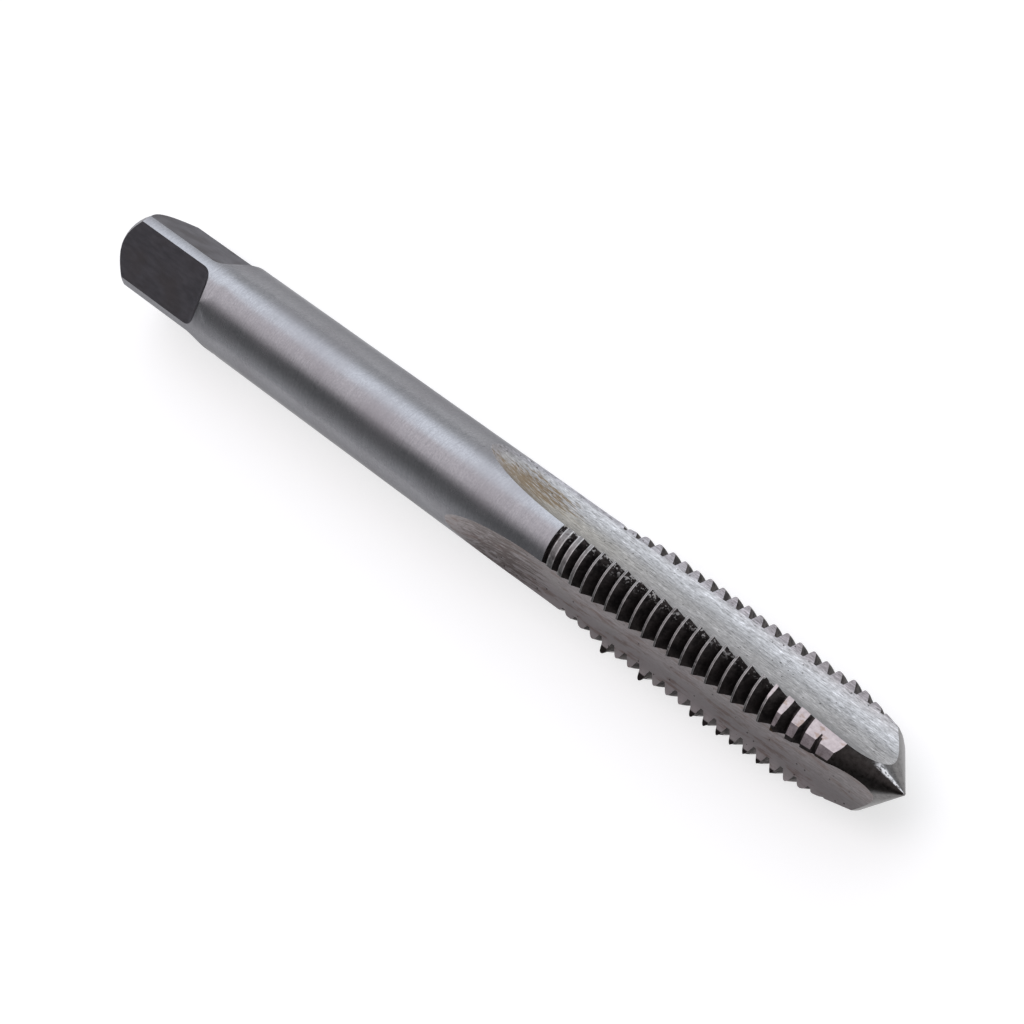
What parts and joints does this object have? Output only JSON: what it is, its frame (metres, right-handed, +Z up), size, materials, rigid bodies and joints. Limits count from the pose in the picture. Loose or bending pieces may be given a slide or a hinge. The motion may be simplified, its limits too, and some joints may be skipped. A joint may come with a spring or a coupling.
{
  "type": "thread tap",
  "caption": "Straight-flute hand tap: fluted right-hand thread with a relieved chamfer and pointed tip, plain round shank and square drive end.",
  "frame": {"origin": "on the surface that the tap lies on, midway between the square's end and the tip, below the axis", "axes": "+X along the tap's axis towards its point, +Z up, with one land facing up and one flute facing down"},
  "size_m": [0.066, 0.006, 0.0056],
  "materials": {
    "tool_steel": "ground, satin"
  },
  "bodies": {
    "root": {"tap": "tool_steel"}
  },
  "joints": []
}
